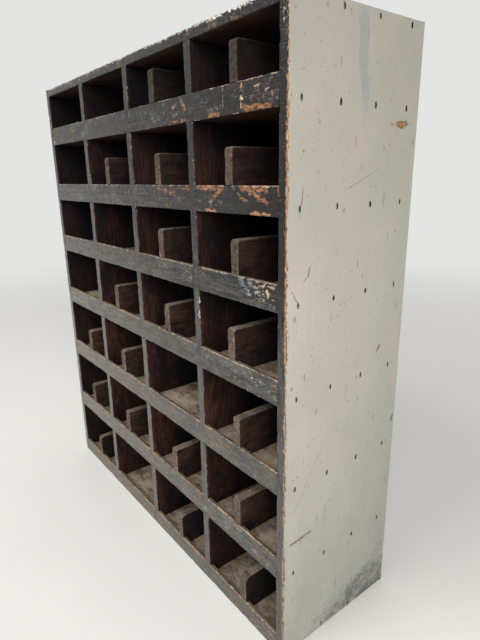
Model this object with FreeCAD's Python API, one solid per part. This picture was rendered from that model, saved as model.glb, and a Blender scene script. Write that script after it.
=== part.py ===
"""Pigeonhole mail sorter: a free-standing softwood cabinet of seven rows by four columns.

Two side boards stand on the floor and carry the top, the bottom and six shelves, each held by a
row of cut nails driven through the sides. Between one board and the next, three short uprights
split a row into four pigeonholes. A thin lip stands along the front of every floor. Most of the
pigeonholes have a low divider down the middle, notched over the lip, and tongued and grooved
boards close the back.

Millimetres. X runs along the width, the open front faces -Y and +Z is up. The origin is the
middle of the footprint, on the floor.
"""
import FreeCAD, Part
import os

# ---- pigeonholes -------------------------------------------------------------------------------
column_count = 4
column_width = 211.5            # clear width between two uprights
row_heights = [99, 122, 118, 129, 141, 147, 146]    # clear heights, top row first

# ---- boards ------------------------------------------------------------------------------------
carcass_depth = 281             # front edge of the sides to the inner face of the back
side_thickness = 18
top_thickness = 17
bottom_thickness = 17
shelf_thickness = 22
upright_thickness = 18
edge_bevel = 1.0                # edges eased with a plane along the front

# ---- front lips --------------------------------------------------------------------------------
lip_height = 21                 # above the floor of the pigeonhole
lip_thickness = 8
lip_bevel = 2                   # worn top front edge

# ---- low dividers ------------------------------------------------------------------------------
low_height = 78
low_thickness = 18
low_corners = [5, 5, 5, 5, 5, 6, 12]    # rounded top corner at the front, top row first
low_edge_bevel = 1.5            # eased top and front edges
notch_clearance = 0.4           # between the notch and the lip it goes over

# How far each low divider was set to the right of the middle of its pigeonhole, by row from the
# top and column from the left. A pigeonhole that isn't listed has no low divider.
low_dividers = {
    (1, 3): -10, (1, 4): 7,
    (2, 2): -4, (2, 3): -3, (2, 4): -9,
    (3, 3): -7, (3, 4): 2,
    (4, 2): -12, (4, 3): 0, (4, 4): -12,
    (5, 1): 11, (5, 2): -5, (5, 4): -2,
    (6, 1): -5, (6, 2): -9, (6, 3): -3, (6, 4): -5,
    (7, 1): 3, (7, 3): 5, (7, 4): 9,
}

# ---- back boards -------------------------------------------------------------------------------
back_thickness = 9
back_board_count = 8
tongue_length = 5
tongue_thickness = 3
tongue_clearance = 0.3          # around the tongue, and between two shoulders
back_bevel = 1.5                # bevelled joint on the outside

# ---- cut nails through the sides ---------------------------------------------------------------
nails_per_joint = 4
nail_inset = 24                 # from the front and the back of the carcass
nail_length = 50
nail_head_height = 6.5          # the wide way of the nail, which stands along the grain
nail_point_height = 2.5
nail_thickness = 2.8
nail_taper_length = 14
punch_depth = 1.6               # the head is driven this far below the face
punch_height = 9
punch_width = 4.6

same_place = 1e-6               # two points nearer than this count as one

# ---- places worked out from the sizes above ----------------------------------------------------
row_count = len(row_heights)
inner_width = column_count * column_width + (column_count - 1) * upright_thickness
overall_width = inner_width + 2 * side_thickness
overall_depth = carcass_depth + back_thickness
overall_height = sum(row_heights) + (row_count - 1) * shelf_thickness + top_thickness + bottom_thickness
inner_left = -inner_width / 2
front = -overall_depth / 2
carcass_back = front + carcass_depth


def floor_of(row):
    """Height of the floor of a row, counted from the top."""
    below = row_heights[row:]
    return bottom_thickness + sum(below) + len(below) * shelf_thickness


def left_of(column):
    """X of the left wall of a column, counted from the left."""
    return inner_left + (column - 1) * (column_width + upright_thickness)


def box(x, y, z, width, depth, height):
    return Part.makeBox(width, depth, height, FreeCAD.Vector(x, y, z))


def straight_edges(shape, along, wanted):
    """Edges of shape parallel to an axis, 0 for X, 1 for Y and 2 for Z, whose middle is wanted."""
    found = []
    for edge in shape.Edges:
        span = edge.Vertexes[-1].Point - edge.Vertexes[0].Point
        others = [abs(span[axis]) for axis in range(3) if axis != along]
        if max(others) < same_place < abs(span[along]) and wanted(edge.CenterOfMass):
            found.append(edge)
    return found


def at_front(point):
    return abs(point.y - front) < same_place


# ---- nails -------------------------------------------------------------------------------------
def nail_rows():
    """Height of the middle of each board that the sides are nailed to."""
    shelves = [floor_of(row) - shelf_thickness / 2 for row in range(1, row_count)]
    return [overall_height - top_thickness / 2, *shelves, bottom_thickness / 2]


def nail_places():
    pitch = (carcass_depth - 2 * nail_inset) / (nails_per_joint - 1)
    return [(front + nail_inset + n * pitch, z) for z in nail_rows() for n in range(nails_per_joint)]


def along_x(outline, y, z, thickness):
    """A plate cut to an outline of (x, height) points, thickness wide along Y about y."""
    points = [FreeCAD.Vector(x, y - thickness / 2, z + height) for x, height in outline]
    face = Part.Face(Part.makePolygon(points + points[:1]))
    return face.extrude(FreeCAD.Vector(0, thickness, 0))


def nail(hand, y, z):
    """A nail driven inwards from the side on hand, -1 for the left and 1 for the right."""
    head = hand * (overall_width / 2 - punch_depth)
    shoulder = head - hand * (nail_length - nail_taper_length)
    tip = head - hand * nail_length
    half_head = nail_head_height / 2
    half_point = nail_point_height / 2
    outline = [(head, half_head), (shoulder, half_head), (tip, half_point),
               (tip, -half_point), (shoulder, -half_head), (head, -half_head)]
    return along_x(outline, y, z, nail_thickness)


def punch_mark(hand, y, z):
    """The hole that the punch leaves over a nail's head."""
    face = hand * overall_width / 2
    head = face - hand * punch_depth
    half = punch_height / 2
    return along_x([(head, half), (face, half), (face, -half), (head, -half)], y, z, punch_width)


nails = {hand: [nail(hand, y, z) for y, z in nail_places()] for hand in (-1, 1)}


# ---- boards ------------------------------------------------------------------------------------
def side_board(hand):
    """A side, with the nails' slots and the punch marks over them."""
    x = inner_left - side_thickness if hand < 0 else -inner_left
    board = box(x, front, 0, side_thickness, overall_depth - back_thickness, overall_height)
    board = board.makeChamfer(edge_bevel, straight_edges(board, 2, at_front))
    marks = [punch_mark(hand, y, z) for y, z in nail_places()]
    return board.cut(Part.makeCompound(nails[hand] + marks))


def level_board(z, thickness):
    """A top, bottom or shelf between the sides, with the slots of the nails in its ends."""
    board = box(inner_left, front, z, inner_width, carcass_depth, thickness)
    board = board.makeChamfer(edge_bevel, straight_edges(board, 0, at_front))
    near = [n for n in nails[-1] + nails[1] if z < n.CenterOfMass.z < z + thickness]
    return board.cut(Part.makeCompound(near))


def upright(row, number):
    """A short upright that stands on the floor of a row, to the right of column number."""
    x = left_of(number) + column_width
    board = box(x, front, floor_of(row), upright_thickness, carcass_depth, row_heights[row - 1])
    return board.makeChamfer(edge_bevel, straight_edges(board, 2, at_front))


def lip(row, column):
    """The strip that keeps letters in, along the front of one pigeonhole's floor."""
    floor = floor_of(row)
    strip = box(left_of(column), front, floor, column_width, lip_thickness, lip_height)

    def worn(point):
        return at_front(point) and abs(point.z - floor - lip_height) < same_place

    return strip.makeChamfer(lip_bevel, straight_edges(strip, 0, worn))


def low_divider(row, column):
    """A low board down the middle of a pigeonhole, from the front to the back boards."""
    floor = floor_of(row)
    middle = left_of(column) + column_width / 2 + low_dividers[row, column]
    left = middle - low_thickness / 2
    top = floor + low_height
    notch_top = floor + lip_height + notch_clearance
    notch_back = front + lip_thickness + notch_clearance
    radius = low_corners[row - 1]

    def at(y, z):
        return FreeCAD.Vector(left, y, z)

    slant = radius * (1 - 0.5 ** 0.5)
    corner = Part.Arc(at(front, top - radius), at(front + slant, top - slant), at(front + radius, top))
    runs = [
        (at(front + radius, top), at(carcass_back, top)),
        (at(carcass_back, top), at(carcass_back, floor)),
        (at(carcass_back, floor), at(notch_back, floor)),
        (at(notch_back, floor), at(notch_back, notch_top)),
        (at(notch_back, notch_top), at(front, notch_top)),
        (at(front, notch_top), at(front, top - radius)),
    ]
    outline = Part.Wire([corner.toShape()] + [Part.LineSegment(a, b).toShape() for a, b in runs])
    board = Part.Face(outline).extrude(FreeCAD.Vector(low_thickness, 0, 0))

    def eased(edge):
        across = abs(edge.Vertexes[0].X - edge.Vertexes[-1].X) > same_place
        middle_point = edge.CenterOfMass
        on_top = abs(middle_point.z - top) < same_place
        on_front = middle_point.y < front + radius and middle_point.z > notch_top + same_place
        return not across and (on_top or on_front)

    return board.makeChamfer(low_edge_bevel, [edge for edge in board.Edges if eased(edge)])


def back_board(number):
    """One upright board of the back. Its tongue, at +X, goes into the next board's groove."""
    pitch = overall_width / back_board_count
    left = -overall_width / 2 + number * pitch
    right = left + pitch
    inner = carcass_back
    outer = inner + back_thickness
    middle = (inner + outer) / 2
    first = number == 0
    last = number == back_board_count - 1
    half_tongue = tongue_thickness / 2
    half_groove = half_tongue + tongue_clearance
    outline = [(left, inner)]
    if last:
        outline += [(right, inner), (right, outer)]
    else:
        shoulder = right - tongue_clearance
        outline += [(shoulder, inner), (shoulder, middle - half_tongue),
                    (right + tongue_length, middle - half_tongue),
                    (right + tongue_length, middle + half_tongue),
                    (shoulder, middle + half_tongue), (shoulder, outer - back_bevel),
                    (shoulder - back_bevel, outer)]
    if first:
        outline += [(left, outer)]
    else:
        groove = left + tongue_length + tongue_clearance
        outline += [(left + back_bevel, outer), (left, outer - back_bevel),
                    (left, middle + half_groove), (groove, middle + half_groove),
                    (groove, middle - half_groove), (left, middle - half_groove)]
    points = [FreeCAD.Vector(x, y, 0) for x, y in outline]
    face = Part.Face(Part.makePolygon(points + points[:1]))
    return face.extrude(FreeCAD.Vector(0, 0, overall_height))


# ---- the pieces, by name -----------------------------------------------------------------------
pieces = {
    "side_board_left": [side_board(-1)],
    "side_board_right": [side_board(1)],
    "top_board": [level_board(overall_height - top_thickness, top_thickness)],
    "bottom_board": [level_board(0, bottom_thickness)],
    "side_nails": nails[-1] + nails[1],
    "back_boards": [back_board(number) for number in range(back_board_count)],
}
for row in range(1, row_count + 1):
    if row < row_count:
        pieces[f"shelf_{row}"] = [level_board(floor_of(row) - shelf_thickness, shelf_thickness)]
    for number in range(1, column_count):
        pieces[f"upright_row{row}_{number}"] = [upright(row, number)]
    pieces[f"front_lips_row{row}"] = [lip(row, column) for column in range(1, column_count + 1)]
for row, column in low_dividers:
    pieces[f"low_divider_row{row}_col{column}"] = [low_divider(row, column)]

os.makedirs("parts", exist_ok=True)
for name, solids in pieces.items():
    shape = solids[0] if len(solids) == 1 else Part.makeCompound(solids)
    shape.exportStep(f"parts/{name}.step")
print(f"{len(pieces)} pieces, {overall_width} x {overall_depth} x {overall_height} mm")
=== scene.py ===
import math
import random

import bmesh
import bpy
from mathutils import Matrix, Vector, noise


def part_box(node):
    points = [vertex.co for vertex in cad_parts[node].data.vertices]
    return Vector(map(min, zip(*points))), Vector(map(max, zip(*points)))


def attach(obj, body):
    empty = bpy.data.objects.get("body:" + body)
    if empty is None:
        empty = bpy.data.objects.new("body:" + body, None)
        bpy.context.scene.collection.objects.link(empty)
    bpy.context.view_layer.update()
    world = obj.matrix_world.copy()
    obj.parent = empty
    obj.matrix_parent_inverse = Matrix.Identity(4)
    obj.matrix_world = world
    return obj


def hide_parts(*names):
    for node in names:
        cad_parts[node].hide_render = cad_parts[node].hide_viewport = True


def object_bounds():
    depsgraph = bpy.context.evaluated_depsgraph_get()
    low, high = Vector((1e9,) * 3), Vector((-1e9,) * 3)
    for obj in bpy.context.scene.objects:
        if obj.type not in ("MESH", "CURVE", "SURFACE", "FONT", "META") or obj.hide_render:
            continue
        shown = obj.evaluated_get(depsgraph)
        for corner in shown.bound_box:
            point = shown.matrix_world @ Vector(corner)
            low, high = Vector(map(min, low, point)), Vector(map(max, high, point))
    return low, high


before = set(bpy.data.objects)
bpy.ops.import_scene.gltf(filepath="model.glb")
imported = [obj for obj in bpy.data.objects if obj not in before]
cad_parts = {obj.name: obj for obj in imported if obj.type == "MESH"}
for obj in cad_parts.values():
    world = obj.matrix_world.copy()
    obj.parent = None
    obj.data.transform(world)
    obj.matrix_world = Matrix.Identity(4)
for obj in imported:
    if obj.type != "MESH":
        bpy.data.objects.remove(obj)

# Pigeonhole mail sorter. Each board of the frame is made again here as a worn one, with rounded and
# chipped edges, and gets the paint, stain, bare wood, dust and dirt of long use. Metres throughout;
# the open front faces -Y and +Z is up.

MM = 0.001
cad_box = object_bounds()
scene = bpy.context.scene
rng = random.Random(28)     # every random draw of this script, in the order of its pieces

# ---- places read from the frame ----------------------------------------------------------------
ROWS = 7
COLUMNS = 4
case_low, case_high = (Vector(corner) for corner in cad_box)
carcass_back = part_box("back_boards")[0][1]
AXES = "xyz"


def solids_of(node):
    """The box of each solid of a node, as (lowest corner, highest corner), from left to right."""
    work = bmesh.new()
    work.from_mesh(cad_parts[node].data)
    bmesh.ops.remove_doubles(work, verts=work.verts, dist=1e-7)
    waiting = set(work.verts)
    boxes = []
    while waiting:
        island = [waiting.pop()]
        for vert in island:
            for edge in vert.link_edges:
                other = edge.other_vert(vert)
                if other in waiting:
                    waiting.remove(other)
                    island.append(other)
        low = Vector([min(v.co[axis] for v in island) for axis in range(3)])
        high = Vector([max(v.co[axis] for v in island) for axis in range(3)])
        boxes.append((low, high))
    work.free()
    return sorted(boxes, key=lambda box: (round(box[0].x, 5), round(box[0].z, 5), round(box[0].y, 5)))


# The level boards from the top, and the height of each row's ceiling and floor, top row first.
boards_down = ["top_board"] + [f"shelf_{n}" for n in range(1, ROWS)] + ["bottom_board"]
ceilings = [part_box(node)[0][2] for node in boards_down[:-1]]
floors = [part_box(node)[1][2] for node in boards_down[1:]]
nail_middles = [(low + high) / 2 for low, high in solids_of("side_nails")]
nail_levels = sorted({round(middle.z, 5) for middle in nail_middles})
nail_columns = sorted({round(middle.y, 5) for middle in nail_middles})


# ---- wear --------------------------------------------------------------------------------------
waves_per_metre = 22        # of the slow change in an arris's wear
nicks_per_metre = 95
least_wear = 0.4            # share of its depth to which an arris is worn everywhere
end_bareness = 0.6          # of the eased ends of a board


def worn_back(seed, at, depth):
    """How far an arris is worn back at a place along it: a soft round, with a nick now and then."""
    slow = noise.noise(Vector((at * waves_per_metre, seed, 0.5)))
    nick = max(0.0, noise.noise(Vector((at * nicks_per_metre, seed, 9.5))) - 0.18)
    return depth * max(least_wear, 1 + 0.7 * slow + 5.5 * nick)


def worn_ring(corners, wear, fade):
    """Points (u, v, bareness) round a cross-section, with each worn corner rounded off.

    wear holds a pair for each corner: how far it is worn back, and how bare it is, or None for a
    sharp corner. The bareness fades to nothing within fade of the corner.
    """
    ring = []
    for n, corner in enumerate(corners):
        if wear[n] is None:
            ring.append((corner.x, corner.y, 0.0))
            continue
        depth, bare = wear[n]
        back = (corners[n - 1] - corner).normalized()
        onward = (corners[(n + 1) % len(corners)] - corner).normalized()
        depth = min(depth, 0.8 * fade)      # a nick stays within the fade
        steps = (
            (back * fade, 0.0),
            (back * depth, 0.7),
            ((back + onward) * depth * 0.32, 1.0),
            (onward * depth, 0.7),
            (onward * fade, 0.0),
        )
        for step, share in steps:
            point = corner + step
            ring.append((point.x, point.y, bare * share))
    return ring


class Boards:
    """Boards gathered into one piece, each with its own place in the wood."""

    def __init__(self):
        self.points = []
        self.faces = []
        self.bare = []
        self.offsets = []

    def skin(self, rings):
        """Adds a closed skin over rings of (x, y, z, bareness) points, as many in each."""
        start = len(self.points)
        count = len(rings[0])
        offset = Vector([rng.uniform(0, 9) for axis in range(3)])
        for ring in rings:
            for x, y, z, bare in ring:
                self.points.append((x, y, z))
                self.bare.append(bare)
                self.offsets.append(offset)
        for n in range(len(rings) - 1):
            for k in range(count):
                a = start + n * count + k
                b = start + n * count + (k + 1) % count
                self.faces.append((a, b, b + count, a + count))
        self.faces.append(tuple(range(start, start + count)))
        self.faces.append(tuple(range(len(self.points) - count, len(self.points))))

    def plank(self, low, high, along, wear, step=5 * MM, fade=6 * MM, ends=0.0):
        """Adds a straight board that fills a box, its length along X or Z, with worn corners.

        The corners of a board along X run front bottom, back bottom, back top, front top, and of one
        along Z left front, right front, right back, left back. ends is how far both ends are eased.
        """
        u, v = (1, 2) if along == 0 else (0, 1)
        corners = [Vector((low[u], low[v])), Vector((high[u], low[v])),
                   Vector((high[u], high[v])), Vector((low[u], high[v]))]
        middle = sum(corners, Vector((0, 0))) / 4
        seeds = [rng.uniform(0, 500) for corner in corners]
        count = max(2, math.ceil((high[along] - low[along]) / step) + 1)
        rings = []
        for n in range(count):
            at = low[along] + (high[along] - low[along]) * n / (count - 1)
            here = [w and (worn_back(seed, at, w[0]), w[1]) for w, seed in zip(wear, seeds)]
            ring = []
            for a, b, bare in worn_ring(corners, here, fade):
                point = [0.0, 0.0, 0.0]
                point[u] = a
                point[v] = b
                point[along] = at
                ring.append((*point, bare))
            rings.append(ring)
        if ends:
            for n, inwards in ((0, 1), (-1, -1)):
                small = []
                moved = []
                for point in rings[n]:
                    spot = list(point[:3])
                    for axis, centre in ((u, middle.x), (v, middle.y)):
                        spot[axis] -= math.copysign(ends, spot[axis] - centre)
                    small.append((*spot, end_bareness))
                    spot = list(point)
                    spot[along] += inwards * ends
                    moved.append(spot)
                rings[n] = moved
                rings.insert(0 if n == 0 else len(rings), small)
        self.skin(rings)

    def mesh(self, name):
        """The boards as one mesh, with their bareness and their places in the wood as attributes."""
        made = bpy.data.meshes.new(name)
        made.from_pydata(self.points, [], self.faces)
        work = bmesh.new()
        work.from_mesh(made)
        bmesh.ops.recalc_face_normals(work, faces=work.faces)
        work.to_mesh(made)
        work.free()
        bare = made.attributes.new("bare", "FLOAT", "POINT")
        bare.data.foreach_set("value", self.bare)
        board = made.attributes.new("board", "FLOAT_VECTOR", "POINT")
        board.data.foreach_set("vector", [part for offset in self.offsets for part in offset])
        return made


def finished(node, mesh, choose):
    """A piece that stands for a node. choose gives each face's finish from its normal and middle."""
    piece = bpy.data.objects.new(f"{node}_finished", mesh)
    scene.collection.objects.link(piece)
    chosen = [choose(face.normal, face.center) for face in mesh.polygons]
    finishes = sorted(set(chosen))
    mesh.materials.clear()
    for finish in finishes:
        mesh.materials.append(materials[finish])
    for face, finish in zip(mesh.polygons, chosen):
        face.material_index = finishes.index(finish)
    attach(piece, "root")
    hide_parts(node)


# ---- colours and nodes -------------------------------------------------------------------------
def paint(colour):
    """An sRGB hex colour as linear RGBA."""
    parts = [int(colour[n:n + 2], 16) / 255 for n in (1, 3, 5)]
    return (*[p / 12.92 if p <= 0.04045 else ((p + 0.055) / 1.055) ** 2.4 for p in parts], 1.0)


def per_mm(*sizes):
    """The scale that makes a pattern's features these sizes in millimetres along X, Y and Z."""
    return tuple(1000 / size for size in sizes)


def add(tree, kind, inputs=None, out=0, **settings):
    """Adds a node with its settings and links. Gives one output, or the node itself for out=None.

    inputs go by name or by number. Numbers 1 and 2 of a Map Range are where its value starts and
    ends, and 3 and 4 are what it gives there, 0 and 1 unless they are set.
    """
    made = tree.nodes.new(kind)
    for name, value in settings.items():
        setattr(made, name, value)
    for key, value in (inputs or {}).items():
        if isinstance(value, bpy.types.NodeSocket):
            tree.links.new(value, made.inputs[key])
        else:
            made.inputs[key].default_value = value
    return made if out is None else made.outputs[out]


def new_material(name):
    """An empty material, and its tree."""
    material = bpy.data.materials.new(name)
    material.use_nodes = True
    material.node_tree.nodes.clear()
    return material, material.node_tree


def surface(t, colour, roughness, relief, strength, depth, **plain):
    """Ends a material: its colour, its roughness and a fine relief, as deep as depth.

    plain holds uniform values by the names of their sockets, with _ for a space.
    """
    bump = add(t, "ShaderNodeBump", {"Strength": strength, "Distance": depth, "Height": relief})
    inputs = {"Base Color": colour, "Roughness": roughness, "Normal": bump}
    for name, value in plain.items():
        inputs[name.replace("_", " ")] = value
    shader = add(t, "ShaderNodeBsdfPrincipled", inputs)
    add(t, "ShaderNodeOutputMaterial", {"Surface": shader}, out=None)


def coats(t, colour, *layers):
    """Lays coats over a colour, in turn. Each is a colour and the mask through which it shows."""
    for top, mask in layers:
        top = paint(top) if isinstance(top, str) else top
        colour = add(t, "ShaderNodeMix", {0: mask, 6: colour, 7: top}, out=2, data_type="RGBA")
    return colour


def spot_in_wood(t):
    """Object coordinates, moved by each board's own offset so that no two boards share their grain."""
    place = add(t, "ShaderNodeTexCoord", out=3)
    board = add(t, "ShaderNodeAttribute", out=1, attribute_name="board")
    return add(t, "ShaderNodeVectorMath", {0: place, 1: board}, operation="ADD")


def speckle(t, spot, sizes, detail=3.0, roughness=0.55, twist=0.0):
    """Cloudy variation about 0.5, whose patches have these sizes in millimetres."""
    scaled = add(t, "ShaderNodeMapping", {"Vector": spot, "Scale": per_mm(*sizes)})
    inputs = {"Vector": scaled, "Scale": 1.0, "Detail": detail, "Roughness": roughness, "Distortion": twist}
    return add(t, "ShaderNodeTexNoise", inputs)


def patches(t, spot, sizes, detail, roughness, start, full, most=1.0, least=0.0, twist=0.0):
    """Speckle as a mask: least up to the level start, rising to most at the level full.

    detail and roughness say how finely the edges of the patches are broken up.
    """
    cloud = speckle(t, spot, sizes, detail, roughness, twist)
    return add(t, "ShaderNodeMapRange", {0: cloud, 1: start, 2: full, 3: least, 4: most})


def long_sizes(along, length, across):
    """Sizes in millimetres of a figure that runs along one axis."""
    return tuple(length if axis == along else across for axis in AXES)


def grain(t, spot, along):
    """Softwood grain: the growth rings that the saw cut through, and fine streaks between them."""
    figure = speckle(t, spot, long_sizes(along, 260, 44), 3.0, 0.5, 0.8)
    rings = add(t, "ShaderNodeMath", {0: figure, 1: 75.0}, operation="MULTIPLY")
    rings = add(t, "ShaderNodeMath", {0: rings}, operation="SINE")
    rings = add(t, "ShaderNodeMapRange", {0: rings, 1: -1.0, 2: 1.0})
    streaks = speckle(t, spot, long_sizes(along, 60, 2.2), 4.0, 0.7)
    return rings, streaks


def edge_wear(t, spot, start, full):
    """1 where an arris has lost its finish: the board's own wear, broken up along the edge."""
    bare = add(t, "ShaderNodeAttribute", out=2, attribute_name="bare")
    level = bare
    for size, amount in ((7, 0.42), (70, 0.3)):
        spread = patches(t, spot, (size, size, size), 4.0, 0.7, 0.32, 0.68, most=amount, least=-amount)
        level = add(t, "ShaderNodeMath", {0: level, 1: spread}, operation="ADD")
    there = add(t, "ShaderNodeMapRange", {0: bare, 1: 0.02, 2: 0.12})
    mask = add(t, "ShaderNodeMapRange", {0: level, 1: start, 2: full})
    return add(t, "ShaderNodeMath", {0: mask, 1: there}, operation="MULTIPLY")


def shade_of_rows(t, up):
    """Painted shade inside at a height: each row darkens upwards towards the board over it, and the upper
    rows are darker.
    """
    share = add(t, "ShaderNodeMath", {0: up, 1: case_high.z}, operation="DIVIDE")
    ramp = add(t, "ShaderNodeValToRGB", {0: share}, out=None)
    stops = []
    for n in reversed(range(ROWS)):
        stops.append((floors[n], 0.62 * 0.45 ** n))
        stops.append((ceilings[n], 0.85 * 0.81 ** n))
    elements = ramp.color_ramp.elements
    while len(elements) < len(stops):
        elements.new(0.5)
    for n, (height, dark) in enumerate(stops):
        elements[n].position = height / case_high.z
        elements[n].color = (dark, dark, dark, 1.0)
    return ramp.outputs[0]


def nearest(t, value, places):
    """How far a coordinate lies from the nearest of some places."""
    best = 1.0
    for place in places:
        away = add(t, "ShaderNodeMath", {0: value, 1: place}, operation="SUBTRACT")
        away = add(t, "ShaderNodeMath", {0: away}, operation="ABSOLUTE")
        best = add(t, "ShaderNodeMath", {0: best, 1: away}, operation="MINIMUM")
    return best


def stroke_group():
    """A stroke from one point to another: 1 on its line, falling to 0 at its width.

    Two nodes hold share between 0 and 1, because Cycles moves a clamp setting to the end of the
    shader and would have to keep the vectors of every stroke until then.
    """
    group = bpy.data.node_groups.new("stroke", "ShaderNodeTree")
    for socket in ("Place", "From", "To"):
        group.interface.new_socket(socket, in_out="INPUT", socket_type="NodeSocketVector")
    for socket in ("Half width", "Soft edge"):
        group.interface.new_socket(socket, in_out="INPUT", socket_type="NodeSocketFloat")
    group.interface.new_socket("Mask", in_out="OUTPUT", socket_type="NodeSocketFloat")
    given = add(group, "NodeGroupInput", out=None)
    place, start, end, half, soft = given.outputs[:5]
    offset = add(group, "ShaderNodeVectorMath", {0: place, 1: start}, operation="SUBTRACT")
    line = add(group, "ShaderNodeVectorMath", {0: end, 1: start}, operation="SUBTRACT")
    reach = add(group, "ShaderNodeVectorMath", {0: offset, 1: line}, out=1, operation="DOT_PRODUCT")
    length = add(group, "ShaderNodeVectorMath", {0: line, 1: line}, out=1, operation="DOT_PRODUCT")
    share = add(group, "ShaderNodeMath", {0: reach, 1: length}, operation="DIVIDE")
    share = add(group, "ShaderNodeMath", {0: share, 1: 0.0}, operation="MAXIMUM")
    share = add(group, "ShaderNodeMath", {0: share, 1: 1.0}, operation="MINIMUM")
    foot = add(group, "ShaderNodeVectorMath", {0: line, "Scale": share}, operation="SCALE")
    away = add(group, "ShaderNodeVectorMath", {0: offset, 1: foot}, operation="SUBTRACT")
    away = add(group, "ShaderNodeVectorMath", {0: away}, out=1, operation="LENGTH")
    rim = add(group, "ShaderNodeMath", {0: half, 1: soft}, operation="ADD")
    mask = add(group, "ShaderNodeMapRange", {0: away, 1: rim, 2: half})
    add(group, "NodeGroupOutput", {0: mask}, out=None)
    return group


stroke = stroke_group()


def on_front(x, z):
    """A point of the front, from X and Z in millimetres."""
    return x * MM, case_low.y, z * MM


def on_right_side(y, z):
    """A point of the right side's outer face, from Y and Z in millimetres."""
    return case_high.x, y * MM, z * MM


def strokes(t, colour, place, marks, on_face, grit, wood):
    """Lays marks over a colour.

    A mark has two ends on a face, a width, a soft edge, a colour and a strength, its sizes in mm.
    grit is a fine cloudy value: a weak mark shows only at its highest spots, a strong one is whole.
    A mark whose colour is "wood" bares the wood, with a rim of stained wood round it.
    """
    for start, end, width, soft, tint, strength in marks:
        inputs = {
            "Place": place,
            "From": on_face(*start),
            "To": on_face(*end),
            "Half width": width / 2 * MM,
            "Soft edge": soft * MM,
        }
        mask = add(t, "ShaderNodeGroup", inputs, node_tree=stroke)
        mask = add(t, "ShaderNodeMath", {0: mask, 1: strength, 2: grit}, operation="MULTIPLY_ADD")
        if tint == "wood":
            rim = add(t, "ShaderNodeMapRange", {0: mask, 1: 0.86, 2: 1.0, 4: 0.85})
            colour = coats(t, colour, ("#38271f", rim))
        mask = add(t, "ShaderNodeMapRange", {0: mask, 1: 1.0, 2: 1.16})
        colour = coats(t, colour, (wood if tint == "wood" else tint, mask))
    return colour


# ---- materials ---------------------------------------------------------------------------------
slanted = 0.6       # how far a face has to turn one way before it counts as facing it a little
square = 0.95       # and before it counts in full


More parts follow.
